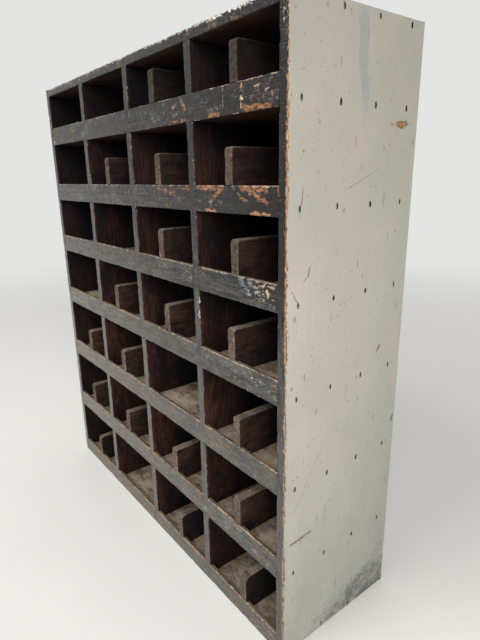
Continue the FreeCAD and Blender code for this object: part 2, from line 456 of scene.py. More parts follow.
def old_pine(name, along, dark, light, worn, dust, dusty, deep, rough=0.72, low_darkening=0.3):
    """Softwood board, planed and then stained or left bare, and handled for decades.

    Its grain shows as streaks of dark and light along the board. worn is the colour of its rubbed
    edges, dusty how much of dust's colour lies on it, deep how far painted shade darkens it
    towards the back and under each board, and low_darkening how dark the faces of its sides get
    near the floor.
    """
    material, t = new_material(name)
    spot = spot_in_wood(t)
    place = add(t, "ShaderNodeTexCoord", out=3)
    inwards, up = add(t, "ShaderNodeSeparateXYZ", {0: place}, out=None).outputs[1:]
    normal = add(t, "ShaderNodeNewGeometry", out=1)
    normal = add(t, "ShaderNodeSeparateXYZ", {0: normal}, out=None).outputs
    sideways = add(t, "ShaderNodeMath", {0: normal["X"]}, operation="ABSOLUTE")
    sideways = add(t, "ShaderNodeMapRange", {0: sideways, 1: slanted, 2: square})
    upwards = add(t, "ShaderNodeMapRange", {0: normal["Z"], 1: slanted, 2: square})

    # stained wood with dust in its grain
    rings, streaks = grain(t, spot, along)
    figure = add(t, "ShaderNodeMath", {0: rings, 1: 0.13, 2: streaks}, operation="MULTIPLY_ADD")
    figure = add(t, "ShaderNodeMapRange", {0: figure, 1: 0.38, 2: 0.8})
    blotch = patches(t, spot, long_sizes(along, 100, 60), 7.0, 0.7, 0.44, 0.56, most=0.92, twist=0.4)
    lying = patches(t, spot, long_sizes(along, 34, 15), 8.0, 0.8, 0.42, 0.58, most=dusty)
    colour = coats(t, paint(dark), (light, figure), (dark, blotch), (dust, lying))

    # edges rubbed by hands, with grime in their pits and chips of clean wood
    rubbed = edge_wear(t, spot, 0.0, 0.6)
    pits = speckle(t, spot, (7, 3, 7), 6.0, 0.8)
    grime = add(t, "ShaderNodeMapRange", {0: pits, 1: 0.5, 2: 0.38, 4: 0.6})
    handled = coats(t, paint(worn), (dust, lying), (dark, grime))
    chips = add(t, "ShaderNodeMapRange", {0: pits, 1: 0.5, 2: 0.6, 3: 0.25, 4: 1.0})
    pale = edge_wear(t, spot, 0.8, 1.3)
    pale = add(t, "ShaderNodeMath", {0: pale, 1: chips}, operation="MULTIPLY")
    colour = coats(t, colour, (handled, rubbed), ("#b8a88e", pale))

    # what lies on a face that looks up
    settled = patches(t, spot, (70, 48, 60), 9.0, 0.8, 0.38, 0.6, most=0.72, least=0.0864)
    stain = patches(t, spot, long_sizes(along, 46, 26), 9.0, 0.75, 0.5, 0.6, most=0.6, twist=0.6)
    dirt = patches(t, spot, (4, 4, 4), 5.0, 0.75, 0.58, 0.64, most=0.7)
    for tint, cover in ((dust, settled), (dark, stain), ("#1d1611", dirt)):
        cover = add(t, "ShaderNodeMath", {0: cover, 1: upwards}, operation="MULTIPLY")
        colour = coats(t, colour, (tint, cover))

    # painted shade, darker inwards from the front and upwards under each board, and darker low down on the
    # faces of the sides
    level = add(t, "ShaderNodeMath", {0: normal["Z"]}, operation="ABSOLUTE")
    # how much painted shade a face takes: all of it on the walls, less on floors and ceilings
    most = add(t, "ShaderNodeMapRange", {0: level, 1: slanted, 2: square, 3: deep, 4: 0.4 * deep})
    inner = add(t, "ShaderNodeMapRange", {0: inwards, 1: case_low.y, 2: case_low.y + 125 * MM})
    # both coats of #0a090c are painted shade
    for shade in (inner, shade_of_rows(t, up)):
        shade = add(t, "ShaderNodeMath", {0: shade, 1: most}, operation="MULTIPLY")
        colour = coats(t, colour, ("#0a090c", shade))
    # darker low down on the faces of the sides
    low = add(t, "ShaderNodeMapRange", {0: up, 1: 0.26, 2: 0.1, 4: low_darkening})
    low = add(t, "ShaderNodeMath", {0: low, 1: sideways}, operation="MULTIPLY")
    colour = coats(t, colour, ("#100f11", low))

    dull = add(t, "ShaderNodeMapRange", {0: streaks, 1: 0.3, 2: 0.7, 3: rough - 0.1, 4: rough + 0.12})
    relief = add(t, "ShaderNodeMath", {0: rings, 1: streaks}, operation="ADD")
    surface(t, colour, dull, relief, 0.5, 0.5 * MM, Specular_IOR_Level=0.1)
    return material


def black_paint(name, along, marks, dusting, flaking):
    """Thin black paint brushed over softwood.

    It has gone grey where hands and bundles rub it, with the grain standing through, and is worn off
    in patches and along the arrises, where the bare pine is orange and the oldest wear is pale.
    A painted reflection greys it lower down, a painted sheen lightens it downwards and to the left,
    and painted shade darkens it high up to the right.
    marks are strokes of coarse wear and dusting strokes of fine pale flecks. flaking is how far the
    patches and scratches have spread.
    """
    material, t = new_material(name)
    spot = spot_in_wood(t)
    place = add(t, "ShaderNodeTexCoord", out=3)
    split = add(t, "ShaderNodeSeparateXYZ", {0: place}, out=None).outputs
    across = split["X"]
    up = split["Z"]
    rings, streaks = grain(t, spot, along)

    # black high up and far to the right, where painted shade darkens it, and grey where it is rubbed; lower
    # down the grey is partly wear and partly a painted reflection of the pale floor
    # greyer lower down: partly rubbing, partly a painted reflection of the floor
    handled = add(t, "ShaderNodeMapRange", {0: up, 1: 1.0, 2: 0.25, 3: -0.16, 4: 0.1})
    shaded_upper_right = add(t, "ShaderNodeMapRange", {0: across, 1: 0.1, 2: 0.42})
    higher = add(t, "ShaderNodeMapRange", {0: up, 1: 0.6, 2: 0.85, 4: -0.2})
    shaded_upper_right = add(t, "ShaderNodeMath", {0: shaded_upper_right, 1: higher}, operation="MULTIPLY")
    rubbed = speckle(t, spot, long_sizes(along, 60, 10), 6.0, 0.7)
    rubbed = add(t, "ShaderNodeMath", {0: rubbed, 1: handled}, operation="ADD")
    rubbed = add(t, "ShaderNodeMath", {0: rubbed, 1: shaded_upper_right}, operation="ADD")
    rubbed = add(t, "ShaderNodeMapRange", {0: rubbed, 1: 0.39, 2: 0.6})

    # a brown film low down, and a pale painted sheen that thickens downwards and to the left, where the
    # front is seen more edge-on
    film = patches(t, spot, long_sizes(along, 50, 9), 7.0, 0.75, 0.4, 0.6)
    lower = add(t, "ShaderNodeMapRange", {0: up, 1: 0.6, 2: 0.35, 4: 0.5})
    film = add(t, "ShaderNodeMath", {0: film, 1: lower}, operation="MULTIPLY")
    haze = add(t, "ShaderNodeMapRange", {0: across, 1: 0.42, 2: -0.46, 3: 0.02, 4: 0.34})
    thicker = add(t, "ShaderNodeMapRange", {0: up, 1: 0.95, 2: 0.45, 3: 0.42, 4: 1.52})
    cloudy = patches(t, spot, long_sizes(along, 44, 12), 8.0, 0.8, 0.36, 0.64, most=1.55, least=0.45)
    for share in (thicker, cloudy):
        haze = add(t, "ShaderNodeMath", {0: haze, 1: share}, operation="MULTIPLY")

    # the grain standing through, and cracks where the paint has dried out, most of all high up
    through = add(t, "ShaderNodeMapRange", {0: streaks, 1: 0.5, 2: 0.66, 4: 0.5})
    cell = add(t, "ShaderNodeMapping", {"Vector": spot, "Scale": per_mm(*long_sizes(along, 11, 26))})
    crack = add(t, "ShaderNodeTexVoronoi", {"Vector": cell, "Scale": 1.0}, feature="DISTANCE_TO_EDGE")
    dried = add(t, "ShaderNodeMapRange", {0: up, 1: 0.45, 2: 0.85, 3: 0.26, 4: 0.75})
    crack = add(t, "ShaderNodeMapRange", {0: crack, 1: 0.07, 2: 0.01, 4: dried})
    # 48494b is the rubbed grey with its painted reflection and shade, #918b81 the painted sheen
    colour = coats(t, paint("#0d0e0f"), ("#48494b", rubbed), ("#655c50", film), ("#918b81", haze),
                   ("#37302b", through), ("#0c0b0b", crack))

    # scratches and bare patches, which gather in some places
    gather = patches(t, spot, long_sizes(along, 70, 34), 3.0, 0.6, 0.5, 0.68, most=flaking)
    for length, thickness, tint in ((1.6, 13, "#8f7c66"), (18, 1.5, "#7c6a57"), (2.6, 6, "#a89d89")):
        line = speckle(t, spot, long_sizes(along, length, thickness), 3.0, 0.7, 0.9)
        line = add(t, "ShaderNodeMath", {0: gather, 1: 0.4, 2: line}, operation="MULTIPLY_ADD")
        line = add(t, "ShaderNodeMapRange", {0: line, 1: 0.71, 2: 0.77, 4: 0.8})
        colour = coats(t, colour, (tint, line))
    grit = patches(t, spot, long_sizes(along, 7, 3.6), 6.0, 0.78, 0.32, 0.68)
    patch = add(t, "ShaderNodeMath", {0: grit, 1: gather}, operation="ADD")
    patch = add(t, "ShaderNodeMapRange", {0: patch, 1: 1.0, 2: 1.08})
    tone = patches(t, spot, long_sizes(along, 9, 3), 4.0, 0.75, 0.38, 0.62)
    wood = coats(t, paint("#40281d"), ("#a3704b", tone))
    colour = coats(t, colour, (wood, patch))
    scraped = patches(t, spot, long_sizes(along, 12, 5), 6.0, 0.72, 0.34, 0.66)
    colour = strokes(t, colour, place, marks, on_front, scraped, wood)
    fine = patches(t, spot, long_sizes(along, 30, 16), 9.0, 0.92, 0.34, 0.66)
    colour = strokes(t, colour, place, dusting, on_front, fine, wood)

    # dirt from the floor, worn arrises and small flecks
    earth = add(t, "ShaderNodeMapRange", {0: up, 1: 0.07, 2: 0.01, 4: 0.7})
    earth = add(t, "ShaderNodeMath", {0: earth, 1: tone}, operation="MULTIPLY")
    oldest = add(t, "ShaderNodeMapRange", {0: tone, 1: 0.1, 2: 0.7})
    edge = coats(t, wood, ("#998b78", oldest))
    fleck = speckle(t, spot, long_sizes(along, 5, 3), 2.0, 0.6)
    fleck = add(t, "ShaderNodeMath", {0: handled, 1: flaking, 2: fleck}, operation="MULTIPLY_ADD")
    fleck = add(t, "ShaderNodeMapRange", {0: fleck, 1: 0.7, 2: 0.75, 4: 0.8})
    colour = coats(t, colour, ("#5c5142", earth), (edge, edge_wear(t, spot, 0.66, 0.8)),
                   ("#a2957f", fleck))

    dull = add(t, "ShaderNodeMapRange", {0: rubbed, 1: 0.0, 2: 1.0, 3: 0.34, 4: 0.52})
    dull = add(t, "ShaderNodeMath", {0: dull, 1: patch}, operation="MAXIMUM")
    relief = add(t, "ShaderNodeMath", {0: streaks, 1: patch}, operation="SUBTRACT")
    relief = add(t, "ShaderNodeMath", {0: relief, 1: crack}, operation="SUBTRACT")
    surface(t, colour, dull, relief, 0.6, 0.8 * MM, Specular_IOR_Level=0.3)
    return material


def grey_oil_paint(name, marks):
    """Putty-grey oil paint brushed up and down a softwood side.

    It is satin and even, with brush lines, a little yellowing, dents, specks and scratches from
    being moved, and black scuffs along the bottom, and painted shade darkens it towards the back
    and the top. Chips show orange pine, and every nail has a rim of broken filler, with painted
    shade in its hole.
    """
    material, t = new_material(name)
    place = add(t, "ShaderNodeTexCoord", out=3)
    spot = spot_in_wood(t)
    across, inwards, up = add(t, "ShaderNodeSeparateXYZ", {0: place}, out=None).outputs

    # the paint, with painted shade towards the back and the top, and yellowed, brushed and filmed with dirt
    cloud = patches(t, spot, (130, 130, 170), 4.0, 0.55, 0.36, 0.64)
    # back and top: painted shade, darker towards the back and the top
    back = add(t, "ShaderNodeMapRange", {0: inwards, 1: -0.14, 2: 0.14, 4: 0.85})
    top = add(t, "ShaderNodeMapRange", {0: up, 1: 0.66, 2: 1.05, 4: 0.68})
    warm = patches(t, spot, (75, 75, 120), 5.0, 0.55, 0.5, 0.72, most=0.3)
    brushed = speckle(t, spot, (1.8, 1.8, 130), 4.0, 0.6)      # coarser than bristles, so as to show
    lines = add(t, "ShaderNodeMapRange", {0: brushed, 1: 0.42, 2: 0.7, 4: 0.32})
    foot = add(t, "ShaderNodeMapRange", {0: up, 1: 0.5, 2: 0.0})
    film = speckle(t, spot, (50, 50, 80), 6.0, 0.65)
    film = add(t, "ShaderNodeMath", {0: film, 1: foot}, operation="MULTIPLY")
    colour = coats(t, paint("#b5b0a4"), ("#aaa69b", cloud), ("#96948a", back), ("#8b877c", top),
                   ("#b3a492", warm), ("#9c998e", lines), ("#7d807a", film))

    # chips, dents and scratches on the right side, with wandering lines
    ragged = speckle(t, spot, (6, 6, 6), 6.0, 0.75)
    grit = add(t, "ShaderNodeMapRange", {0: ragged, 1: 0.32, 2: 0.68})
    right = add(t, "ShaderNodeMath", {0: across, 1: 0.0}, operation="GREATER_THAN")
    grit = add(t, "ShaderNodeMath", {0: grit, 1: right}, operation="MULTIPLY")
    wander = 5 * MM
    shift = add(t, "ShaderNodeVectorMath", {0: (0.0, wander, wander), "Scale": ragged}, operation="SCALE")
    shifted = add(t, "ShaderNodeVectorMath", {0: place, 1: shift}, operation="ADD")
    shifted = add(t, "ShaderNodeVectorMath", {0: shifted, 1: (0.0, wander / 2, wander / 2)},
                  operation="SUBTRACT")
    wood = patches(t, spot, (6, 6, 24), 6.0, 0.7, 0.4, 0.6)
    wood = coats(t, paint("#5f4122"), ("#a67a4a", wood))
    colour = strokes(t, colour, shifted, marks, on_right_side, grit, wood)

    # specks of several kinds, as wide and as tall apart as given, and thin crossing scratches
    flat = add(t, "ShaderNodeSeparateXYZ", {0: spot}, out=None).outputs
    flat = add(t, "ShaderNodeCombineXYZ", {0: flat["Y"], 1: flat["Z"]})
    uneven = add(t, "ShaderNodeMapRange", {0: ragged, 1: 0.3, 2: 0.7, 3: 0.3, 4: 1.7})
    for wide, tall, most, tint in ((30, 30, 0.05, "#6b6458"), (52, 64, 0.07, "#857d70"),
                                   (19, 150, 0.075, "#787265"), (60, 33, 0.04, "#8a8376")):
        speck = add(t, "ShaderNodeMapping", {"Vector": flat, "Scale": per_mm(wide, tall, 1)})
        speck = add(t, "ShaderNodeTexVoronoi", {"Vector": speck, "Scale": 1.0}, out=None,
                    voronoi_dimensions="2D")
        size = add(t, "ShaderNodeSeparateXYZ", {0: speck.outputs["Color"]})
        size = add(t, "ShaderNodeMapRange", {0: size, 1: 0.45, 2: 1.0, 4: most})
        size = add(t, "ShaderNodeMath", {0: size, 1: uneven}, operation="MULTIPLY")
        dot = add(t, "ShaderNodeMath", {0: speck.outputs["Distance"], 1: size}, operation="LESS_THAN")
        dot = add(t, "ShaderNodeMath", {0: dot, 1: 0.75}, operation="MULTIPLY")
        colour = coats(t, colour, (tint, dot))
    cell = add(t, "ShaderNodeMapping", {"Vector": flat, "Scale": per_mm(90, 60, 1), "Rotation": (0, 0, 0.5)})
    scratch = add(t, "ShaderNodeTexVoronoi", {"Vector": cell, "Scale": 1.0}, voronoi_dimensions="2D",
                  feature="DISTANCE_TO_EDGE")
    scratch = add(t, "ShaderNodeMapRange", {0: scratch, 1: 0.009, 2: 0.003})
    some = patches(t, spot, (45, 45, 45), 3.0, 0.55, 0.55, 0.63, most=0.55)
    scratch = add(t, "ShaderNodeMath", {0: scratch, 1: some}, operation="MULTIPLY")

    # scuffs along the bottom, most of all at the back
    low = add(t, "ShaderNodeMapRange", {0: up, 1: 0.11, 2: 0.004, 3: -0.2, 4: 0.16})
    rear = add(t, "ShaderNodeMapRange", {0: inwards, 1: -0.1, 2: 0.08, 3: -0.22, 4: 0.02})
    scuff = speckle(t, spot, (34, 34, 22), 9.0, 0.8)
    for more in (low, rear):
        scuff = add(t, "ShaderNodeMath", {0: scuff, 1: more}, operation="ADD")
    scuff = add(t, "ShaderNodeMapRange", {0: scuff, 1: 0.5, 2: 0.66, 4: 0.88})

    # broken filler round each nail, in a ragged oval that is taller than it is wide, which also paints shade
    # on the walls of the nail's hole
    aside = nearest(t, inwards, nail_columns)
    above = nearest(t, up, nail_levels)
    above = add(t, "ShaderNodeMath", {0: above, 1: 0.55}, operation="MULTIPLY")
    around = add(t, "ShaderNodeCombineXYZ", {0: aside, 1: above})
    around = add(t, "ShaderNodeVectorMath", {0: around}, out=1, operation="LENGTH")
    jagged = add(t, "ShaderNodeMapRange", {0: ragged, 1: 0.3, 2: 0.7, 3: -1.6 * MM, 4: 1.6 * MM})
    around = add(t, "ShaderNodeMath", {0: around, 1: jagged}, operation="ADD")
    filler = add(t, "ShaderNodeMapRange", {0: around, 1: 3.2 * MM, 2: 2.2 * MM, 4: 0.75})

    # arrises worn to primer and wood, and soiled lower down
    chipped = edge_wear(t, spot, 0.7, 0.78)
    primer = edge_wear(t, spot, 0.62, 0.68)
    soiled = add(t, "ShaderNodeMapRange", {0: up, 1: 0.62, 2: 0.4, 3: 0.14, 4: 0.62})
    soiled = add(t, "ShaderNodeMath", {0: soiled, 1: edge_wear(t, spot, 0.4, 0.7)}, operation="MULTIPLY")
    colour = coats(t, colour, ("#8b867a", scratch), ("#4b4e4a", scuff), ("#5a5347", filler),
                   ("#bdb7a9", primer), (wood, chipped), ("#5b5349", soiled))

    satin = add(t, "ShaderNodeMapRange", {0: brushed, 1: 0.3, 2: 0.7, 3: 0.42, 4: 0.56})
    satin = add(t, "ShaderNodeMath", {0: satin, 1: chipped}, operation="MAXIMUM")
    dents = speckle(t, spot, (16, 16, 16), 6.0, 0.6)
    relief = add(t, "ShaderNodeMath", {0: brushed, 1: dents}, operation="ADD")
    relief = add(t, "ShaderNodeMath", {0: relief, 1: chipped}, operation="SUBTRACT")
    surface(t, colour, satin, relief, 0.35, 0.5 * MM)
    return material


def rusted_iron(name):
    """Cut iron nails, rolled and sheared: dark, pitted and dull, with a brown bloom of rust.

    Old paint and filler clog the heads of some of them.
    """
    material, t = new_material(name)
    place = add(t, "ShaderNodeTexCoord", out=3)
    bloom = speckle(t, place, (2, 2, 2), 5.0, 0.7)
    clogged = patches(t, place, (40, 40, 40), 3.0, 0.7, 0.46, 0.54, most=0.8)
    colour = coats(t, paint("#1b1715"), ("#4a2c1c", bloom), ("#88847a", clogged))
    dull = add(t, "ShaderNodeMapRange", {0: bloom, 1: 0.3, 2: 0.7, 3: 0.55, 4: 0.9})
    surface(t, colour, dull, bloom, 0.6, 0.3 * MM, Metallic=0.3)
    return material


# Each mark is a start, an end, a width, a soft edge, a colour and a strength, as strokes takes them.
# These are on the right side, from (Y, Z) to (Y, Z).
side_marks = [
    ((-1, 1054), (2, 990), 15, 4, "#8b8b87", 1.4),        # a stroke of bluish paint
    ((2, 990), (10, 952), 13, 4, "#8b8b87", 1.15),
    ((10, 952), (12, 938), 7, 7, "#90908a", 0.8),
    ((14, 1005), (21, 962), 0.2, 1.5, "#8a8881", 0.9),
    ((90, 916), (112, 918), 5, 7, "#5c4329", 0.86),       # a chip down to the wood
    ((91, 917), (113, 918), 3, 6, "wood", 0.8),
    ((76, 916), (90, 917), 0.5, 3, "#8f6a44", 0.9),
    ((-27, 819), (47, 848), 0.2, 1.4, "#7d796f", 0.9),
    ((49, 850), (57, 843), 0.2, 1.4, "#7d796f", 0.7),
    ((-115, 826), (-117, 803), 0.2, 1.6, "#6f6a60", 0.8),
    ((71, 878), (74, 858), 0.2, 1.4, "#7d796f", 0.8),
    ((60, 884), (66, 876), 0.2, 1.8, "#7d796f", 0.8),
    ((-98, 712), (-101, 700), 0.6, 2.4, "#7d6a5a", 0.9),
    ((-101, 700), (-110, 692), 0.3, 2.0, "#7d6a5a", 0.8),
    ((-138, 686), (-121, 660), 0.4, 1.8, "#7d6a5a", 0.8),
    ((75, 539), (84, 550), 1.2, 2.6, "#5f4f42", 1.1),
    ((-128, 236), (-81, 240), 1.3, 3.2, "#756247", 1.1),
    ((-124, 295), (-44, 422), 0.5, 5, "#97948a", 0.7),
    ((-126, 393), (-69, 427), 0.5, 4, "#97948a", 0.6),
    ((-2, 513), (-4, 466), 1.5, 6, "#a2958a", 0.7),
    ((138, 393), (136, 384), 3, 4, "#5f5b54", 0.9),
    ((128, 262), (134, 250), 5, 12, "#85877f", 0.7),
    ((30, 40), (128, 62), 6, 40, "#5f6260", 0.62),
    ((90, 20), (130, 100), 4, 26, "#6b6e6a", 0.55),
    ((-60, 30), (20, 26), 4, 26, "#6b6e6a", 0.5),
]

# Marks on the front, from (X, Z) to (X, Z): bare wood, and pale flecks where labels were rubbed off.
rail_marks = [
    ((246, 826), (318, 824), 3, 7, "wood", 0.72),
    ((314, 821), (290, 810), 2, 6, "wood", 0.7),
    ((367, 825), (425, 824), 4, 7, "wood", 0.74),
    ((388, 819), (424, 807), 3, 7, "wood", 0.72),
    ((357, 818), (368, 809), 0.5, 3, "#a08c70", 0.75),
    ((364, 810), (382, 807), 1, 4, "wood", 0.75),
    ((344, 829), (347, 824), 0.6, 3, "#a9a497", 0.75),
    ((449, 829), (450, 817), 1, 2.5, "wood", 0.85),
    ((386, 789), (430, 788), 1, 7, "#9b7350", 0.66),
    ((262, 789), (300, 788), 1, 5, "#9b7350", 0.6),
    ((110, 824), (170, 814), 1, 9, "wood", 0.63),
    ((180, 826), (226, 822), 1, 8, "wood", 0.6),
    ((289, 933), (313, 933), 1, 6, "wood", 0.86),
    ((375, 935), (430, 934), 3, 7, "wood", 0.74),
    ((370, 973), (370, 960), 1, 3, "#a5764f", 0.7),
    ((369, 950), (372, 948), 2, 4, "#b8a382", 0.72),
    ((369, 946), (369, 933), 0.6, 2.4, "#98897a", 0.66),
    ((325, 970), (325, 944), 0.4, 1.8, "#6f6b65", 0.6),
    ((408, 966), (408, 940), 0.4, 1.8, "#6f6b65", 0.6),
    ((436, 952), (436, 936), 0.4, 1.8, "#7d6f66", 0.7),
    ((392, 968), (398, 960), 0.4, 3, "#94795f", 0.56),
    ((398, 961), (412, 963), 0.4, 2.0, "#a98f78", 0.7),
    ((423, 954), (432, 957), 1, 4, "#8d8577", 0.54),
    ((206, 965), (218, 952), 3, 7, "#84604c", 0.62),
    ((146, 970), (147, 950), 4, 7, "#75615a", 0.45),
    ((176, 956), (184, 957), 2, 4, "#8e6d5c", 0.7),
    ((4, 948), (84, 948), 1.5, 0.9, "#070707", 1.2),
    ((150, 936), (232, 932), 1, 7, "wood", 0.52),
    ((360, 684), (380, 668), 5, 12, "#606767", 0.62),
    ((382, 682), (404, 672), 8, 12, "#6d736f", 0.56),
    ((400, 682), (436, 678), 8, 14, "#8d806b", 0.46),
    ((384, 670), (438, 660), 8, 16, "#a09880", 0.36),
    ((420, 687), (428, 668), 2, 6, "#bba27e", 0.62),
    ((388, 521), (402, 516), 1, 9, "#a9a396", 0.5),
    ((250, 560), (320, 548), 3, 10, "#b3a68c", 0.45),
    ((408, 524), (444, 505), 1, 9, "#8f8473", 0.5),
    ((-428, 514), (-414, 508), 1, 9, "#b3aea4", 0.6),
    ((-462, 944), (-444, 938), 1, 11, "#a39376", 0.65),
    ((235, 1068), (400, 1067), 1, 7, "#cfccc4", 0.75),
    ((-466, 1068), (235, 1068), 1, 6, "#aeaba2", 0.7),
    ((-466, 1063), (0, 1063), 6, 10, "#7d7c78", 0.36),
]

# Fine flecks and dust over parts of the rails.
rail_dusting = [
    ((60, 952), (235, 952), 24, 9, "#7d7365", 0.3),
    ((240, 957), (275, 957), 16, 12, "#62574f", 0.42),
    ((380, 960), (450, 958), 18, 12, "#584641", 0.42),
    ((425, 946), (452, 940), 12, 12, "#684a40", 0.4),
    ((242, 808), (310, 806), 12, 8, "#827e73", 0.33),
    ((105, 945), (130, 944), 8, 12, "#9b978b", 0.38),
    ((90, 670), (235, 666), 24, 10, "#958b79", 0.27),
    ((235, 520), (330, 516), 30, 8, "#a0957f", 0.31),
    ((330, 517), (450, 516), 30, 8, "#968c79", 0.32),
    ((240, 354), (450, 352), 32, 8, "#857969", 0.36),
    ((200, 186), (450, 184), 30, 8, "#8f8779", 0.38),
    ((-440, 186), (200, 184), 30, 8, "#867e72", 0.33),
    ((-100, 20), (450, 20), 26, 8, "#8f8779", 0.33),
    ((-460, 22), (-80, 20), 24, 10, "#75654f", 0.5),
    ((-440, 808), (-60, 808), 26, 10, "#8c8168", 0.27),
]

# Marks on the front edges of the uprights and the sides.
post_marks = [
    ((237, 640), (236, 596), 2, 6, "#b3aa96", 0.55),
    ((459, 1066), (459, 1030), 1, 6, "#a5a29b", 0.45),
    ((467, 950), (467, 590), 2, 4, "wood", 0.82),
    ((467, 590), (467, 70), 1, 4, "wood", 0.5),
    ((466, 1040), (466, 60), 1, 5, "#94704e", 0.42),
    ((463, 1064), (463, 1000), 1, 6, "#8a6445", 0.46),
]

materials = {
    "grey": grey_oil_paint("grey_oil_paint_brushed", side_marks),
    "black_x": black_paint("black_paint_on_rails", "x", rail_marks, rail_dusting, flaking=0.36),
    "black_z": black_paint("black_paint_on_uprights", "z", post_marks, [], flaking=0.12),
    "inside_x": old_pine("stained_pine_along_shelves", "x", dark="#1a100e", light="#543226",
                         worn="#5d4433", dust="#40362f", dusty=0.2, deep=0.9),
    "inside_side": old_pine("stained_pine_sides", "z", dark="#120c0c", light="#3b261e",
                            worn="#46332a", dust="#352b27", dusty=0.2, deep=0.9),
    "inside_z": old_pine("stained_pine_upright", "z", dark="#1a1010", light="#5e3b2e",
                         worn="#583c2e", dust="#3e2f2b", dusty=0.2, deep=0.97),
    "floor": old_pine("dusty_pine_floors", "x", dark="#382b20", light="#80694f",
                      worn="#96826a", dust="#b3a38d", dusty=0.45, deep=0.44, rough=0.82),
    "low": old_pine("worn_pine_low_dividers", "y", dark="#1b1211", light="#513226",
                    worn="#61564c", dust="#867a6a", dusty=0.1, deep=0.92, low_darkening=0.7),
    "low_x": old_pine("worn_pine_lips", "x", dark="#221813", light="#5a4330",
                      worn="#8f6f50", dust="#6b6053", dusty=0.5, deep=0.42, low_darkening=0.0),
    "back": old_pine("bare_pine_back_boards", "z", dark="#6d5642", light="#9a7c5c",
                     worn="#a08a6f", dust="#7c7264", dusty=0.6, deep=0.0, rough=0.8, low_darkening=0.0),
    "iron": rusted_iron("rusted_cut_iron"),
}


# ---- nails: holes over them, and heads on the back ---------------------------------------------
def new_tree(name, numbers):
    """A Geometry Nodes tree with named inputs, and the outputs of its group input."""
    tree = bpy.data.node_groups.new(name, "GeometryNodeTree")
    tree.interface.new_socket("Places", in_out="INPUT", socket_type="NodeSocketGeometry")
    for label, value in numbers.items():
        kind = "NodeSocketVector" if isinstance(value, tuple) else "NodeSocketFloat"
        socket = tree.interface.new_socket(label, in_out="INPUT", socket_type=kind)
        socket.default_value = value
    tree.interface.new_socket("Finish", in_out="INPUT", socket_type="NodeSocketMaterial")
    tree.interface.new_socket("Geometry", in_out="OUTPUT", socket_type="NodeSocketGeometry")
    return tree, add(tree, "NodeGroupInput", out=None).outputs


def repeated_tree():
    """The same small blunt cone at every place, each of a slightly different size.

    It stands on its place, Depth tall before Turn is applied. Flare is how much wider its top is,
    and Raggedness how far its points stray.
    """
    numbers = {"Width": 1 * MM, "Height": 1 * MM, "Depth": 1 * MM, "Flare": 1.0,
               "Turn": (0.0, 0.0, 0.0), "Variation": 0.1, "Raggedness": 0.0}
    tree, given = new_tree("small cones at places", numbers)
    wide = add(tree, "ShaderNodeMath", {0: given["Flare"], 1: 0.5}, operation="MULTIPLY")
    cone = add(tree, "GeometryNodeMeshCone", {"Vertices": 10, "Radius Top": wide, "Radius Bottom": 0.5,
                                              "Depth": given["Depth"]})
    small = add(tree, "ShaderNodeMath", {0: 1.0, 1: given["Variation"]}, operation="SUBTRACT")
    large = add(tree, "ShaderNodeMath", {0: 1.0, 1: given["Variation"]}, operation="ADD")
    amount = add(tree, "FunctionNodeRandomValue", {2: small, 3: large, "Seed": 5}, out=1)
    tall = add(tree, "ShaderNodeMath", {0: given["Height"], 1: amount}, operation="MULTIPLY")
    broad = add(tree, "ShaderNodeMath", {0: given["Width"], 1: amount}, operation="MULTIPLY")
    size = add(tree, "ShaderNodeCombineXYZ", {0: tall, 1: broad, 2: 1.0})
    placed = add(tree, "GeometryNodeInstanceOnPoints", {"Points": given["Places"], "Instance": cone,
                                                        "Rotation": given["Turn"], "Scale": size})
    real = add(tree, "GeometryNodeRealizeInstances", {0: placed})
    ragged = add(tree, "ShaderNodeTexNoise", {"Scale": 260.0, "Detail": 2.0}, out=1)
    shift = add(tree, "ShaderNodeVectorMath", {0: ragged, 1: (0.5, 0.5, 0.5)}, operation="SUBTRACT")
    shift = add(tree, "ShaderNodeVectorMath", {0: shift, "Scale": given["Raggedness"]}, operation="SCALE")
    shift = add(tree, "ShaderNodeVectorMath", {0: shift, 1: (0.0, 1.0, 1.0)}, operation="MULTIPLY")
    moved = add(tree, "GeometryNodeSetPosition", {"Geometry": real, "Offset": shift})
    done = add(tree, "GeometryNodeSetMaterial", {"Geometry": moved, "Material": given["Finish"]})
    add(tree, "NodeGroupOutput", {0: done}, out=None)
    return tree


cones_at_places = repeated_tree()


def grown(places, values):
    """Runs the tree on some places and gives what it made as a plain mesh."""
    seeds = bpy.data.meshes.new("places")
    seeds.from_pydata([tuple(place) for place in places], [], [])
    host = bpy.data.objects.new("places", seeds)
    scene.collection.objects.link(host)
    modifier = host.modifiers.new("grow", "NODES")
    modifier.node_group = cones_at_places
    for item in cones_at_places.interface.items_tree:
        if item.in_out == "INPUT" and item.name in values:
            modifier[item.identifier] = values[item.name]
    depsgraph = bpy.context.evaluated_depsgraph_get()
    mesh = bpy.data.meshes.new_from_object(host.evaluated_get(depsgraph))
    bpy.data.objects.remove(host)
    return mesh


